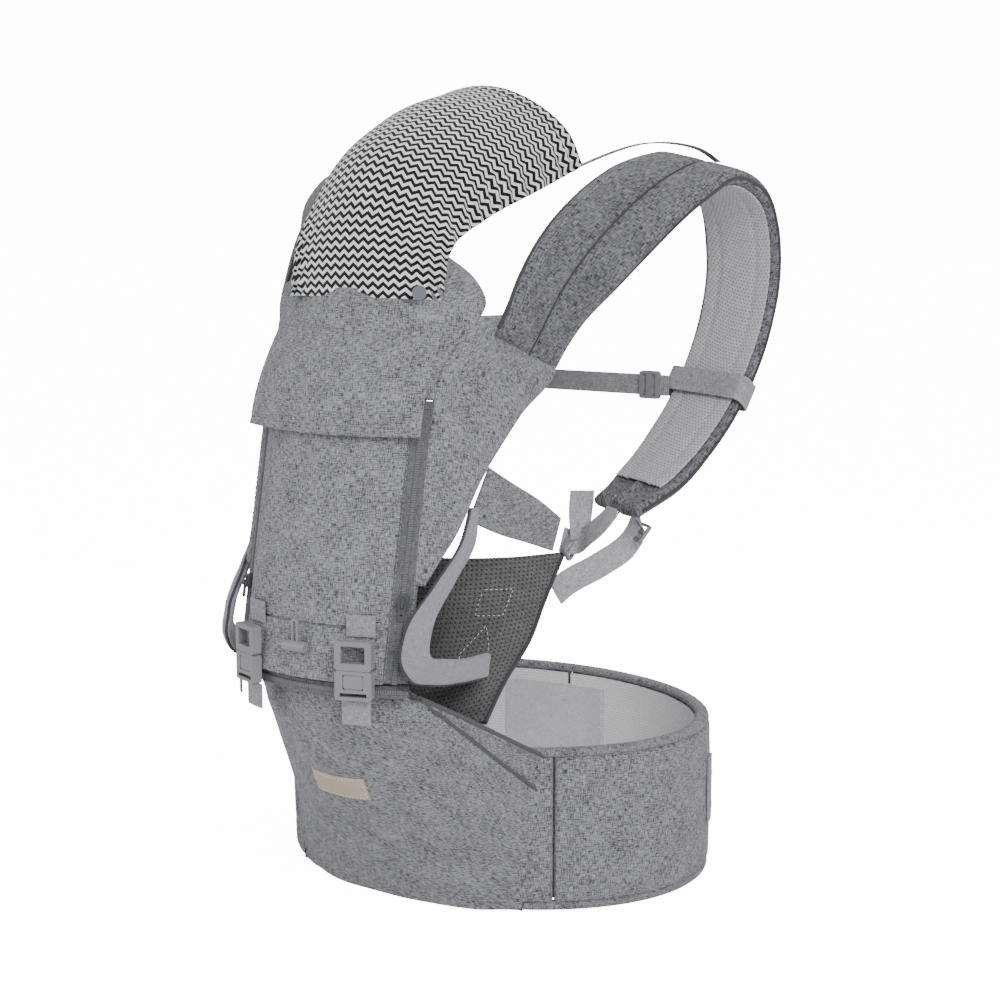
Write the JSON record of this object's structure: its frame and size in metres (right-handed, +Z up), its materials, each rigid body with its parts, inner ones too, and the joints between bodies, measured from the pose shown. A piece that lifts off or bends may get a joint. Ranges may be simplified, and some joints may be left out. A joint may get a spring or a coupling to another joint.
{
  "type": "baby carrier backpack",
  "caption": "Front-worn baby carrier with a wedge hip seat on a padded waist belt, zipped body panel with pocket flap, padded shoulder straps, chest strap and sun hood.",
  "frame": {"origin": "centre of the carrier's bounding box in plan, at the height of the floor it stands on", "axes": "+Z up, +X towards the wearer's left, -Y the way the panel's outside faces, away from the wearer"},
  "size_m": [0.502, 0.503, 0.764],
  "materials": {
    "melange_fabric": "mid-grey melange linen weave",
    "mesh_lining": "light grey perforated mesh",
    "smooth_padding": "smooth lavender-grey padded cloth",
    "grip_mesh": "dark open grip mesh",
    "foam": "closed-cell foam",
    "hook_and_loop": "hook-and-loop tape",
    "webbing": "ribbed light grey webbing",
    "chevron_fabric": "black and white chevron weave",
    "tan_leather": "smooth tan leather",
    "zip_tape": "lavender-grey woven tape",
    "zip_metal": "bright nickel",
    "buckle_plastic": "satin mid-grey plastic",
    "snap_plastic": "blue-grey gloss plastic"
  },
  "bodies": {
    "carrier": {"belt_binding": "melange_fabric", "belt_buckle_socket": "buckle_plastic", "belt_front_panel": "melange_fabric", "belt_lining": "mesh_lining", "belt_tabs": "melange_fabric", "belt_webbings": "webbing", "belt_wing_left": "melange_fabric", "belt_wing_right": "melange_fabric", "chest_buckle_socket": "buckle_plastic", "chest_loops": "webbing", "chest_webbing_right": "webbing", "clip_socket_left": "buckle_plastic", "clip_socket_right": "buckle_plastic", "clip_tabs": "melange_fabric", "closure_tongue": "hook_and_loop", "front_panel": "melange_fabric", "head_support": "melange_fabric", "hem_band": "melange_fabric", "hood_straps": "melange_fabric", "inner_mesh": "mesh_lining", "inner_panel": "melange_fabric", "label_patch": "tan_leather", "leg_bands": "smooth_padding", "lower_ladder_locks": "buckle_plastic", "lower_webbings": "webbing", "panel_lining": "mesh_lining", "pocket": "melange_fabric", "seat_core": "foam", "seat_cover": "melange_fabric", "seat_mat": "grip_mesh", "shoulder_strap_left": "melange_fabric", "shoulder_strap_right": "melange_fabric", "side_tabs": "melange_fabric", "side_wing_left": "melange_fabric", "side_wing_right": "melange_fabric", "side_zips": "zip_tape", "strap_lining_left": "mesh_lining", "strap_lining_right": "mesh_lining", "upper_ladder_locks": "buckle_plastic", "upper_webbings": "webbing", "waist_zip": "zip_tape"},
    "flap": {"pocket_flap": "melange_fabric"},
    "sun_hood": {"hood": "chevron_fabric", "snap_caps": "snap_plastic"},
    "toggle_bar": {"toggle": "buckle_plastic"},
    "zip_slider_left": {"side_zip_slider_left": "zip_metal"},
    "zip_puller_left": {"side_zip_puller_left": "zip_metal"},
    "clip_plug_left_body": {"clip_plug_left": "buckle_plastic"},
    "clip_button_left_body": {"clip_button_left": "buckle_plastic"},
    "zip_slider_right": {"side_zip_slider_right": "zip_metal"},
    "zip_puller_right": {"side_zip_puller_right": "zip_metal"},
    "clip_plug_right_body": {"clip_plug_right": "buckle_plastic"},
    "clip_button_right_body": {"clip_button_right": "buckle_plastic"},
    "waist_slider": {"waist_zip_slider": "zip_metal"},
    "waist_puller": {"waist_zip_puller": "zip_metal"},
    "back_plug": {"belt_buckle_plug": "buckle_plastic"},
    "chest_plug": {"chest_buckle_plug": "buckle_plastic", "chest_webbing_left": "webbing"},
    "chest_adjuster": {"chest_slider": "buckle_plastic"}
  },
  "joints": [
    {"name": "flap_lift", "type": "hinge", "parent": "carrier", "child": "flap", "pos_m": [0, -0.15035, 0.541], "axis": [-1, 0, 0], "range_deg": [0, 32]},
    {"name": "hood_fold", "type": "hinge", "parent": "carrier", "child": "sun_hood", "pos_m": [0, -0.16965, 0.5665], "axis": [1, 0, 0], "range_deg": [0, 45]},
    {"name": "toggle_swing", "type": "hinge", "parent": "carrier", "child": "toggle_bar", "pos_m": [0, -0.2422, 0.2875], "axis": [-1, 0, 0], "range_deg": [0, 60]},
    {"name": "side_zip_left_run", "type": "slide", "parent": "carrier", "child": "zip_slider_left", "axis": [0, 0.1789, 0.9839], "range_m": [-0.023, 0.125]},
    {"name": "side_zip_left_pull", "type": "hinge", "parent": "zip_slider_left", "child": "zip_puller_left", "pos_m": [0.09292, -0.20991, 0.30784], "axis": [-0.8503, -0.5179, 0.0942], "range_deg": [0, 75]},
    {"name": "front_clip_left_pull", "type": "slide", "parent": "carrier", "child": "clip_plug_left_body", "axis": [0, 0, 1], "range_m": [0, 0.018]},
    {"name": "front_clip_left_press", "type": "slide", "parent": "carrier", "child": "clip_button_left_body", "axis": [-0.355, 0.9349, 0], "range_m": [0, 0.0012], "stiffness_N_per_m": 400},
    {"name": "side_zip_right_run", "type": "slide", "parent": "carrier", "child": "zip_slider_right", "axis": [0, 0.1789, 0.9839], "range_m": [-0.023, 0.125]},
    {"name": "side_zip_right_pull", "type": "hinge", "parent": "zip_slider_right", "child": "zip_puller_right", "pos_m": [-0.09292, -0.20991, 0.30784], "axis": [-0.8503, 0.5179, -0.0942], "range_deg": [0, 75]},
    {"name": "front_clip_right_pull", "type": "slide", "parent": "carrier", "child": "clip_plug_right_body", "axis": [0, 0, 1], "range_m": [0, 0.018]},
    {"name": "front_clip_right_press", "type": "slide", "parent": "carrier", "child": "clip_button_right_body", "axis": [0.355, 0.9349, 0], "range_m": [0, 0.0012], "stiffness_N_per_m": 400},
    {"name": "waist_zip_run", "type": "hinge", "parent": "carrier", "child": "waist_slider", "pos_m": [0, -0.07395, 0.228], "axis": [0, 0, 1], "range_deg": [-0.8, 3.2]},
    {"name": "waist_zip_pull", "type": "hinge", "parent": "waist_slider", "child": "waist_puller", "pos_m": [-0.09551, -0.21555, 0.228], "axis": [-0.829, 0.5592, 0], "range_deg": [0, 75]},
    {"name": "back_buckle_pull", "type": "slide", "parent": "carrier", "child": "back_plug", "axis": [-1, 0, 0], "range_m": [0, 0.026]},
    {"name": "chest_buckle_pull", "type": "slide", "parent": "carrier", "child": "chest_plug", "axis": [1, 0, 0], "range_m": [0, 0.018]},
    {"name": "chest_adjuster_run", "type": "slide", "parent": "chest_plug", "child": "chest_adjuster", "axis": [-1, 0, 0], "range_m": [0, 0.12]}
  ]
}
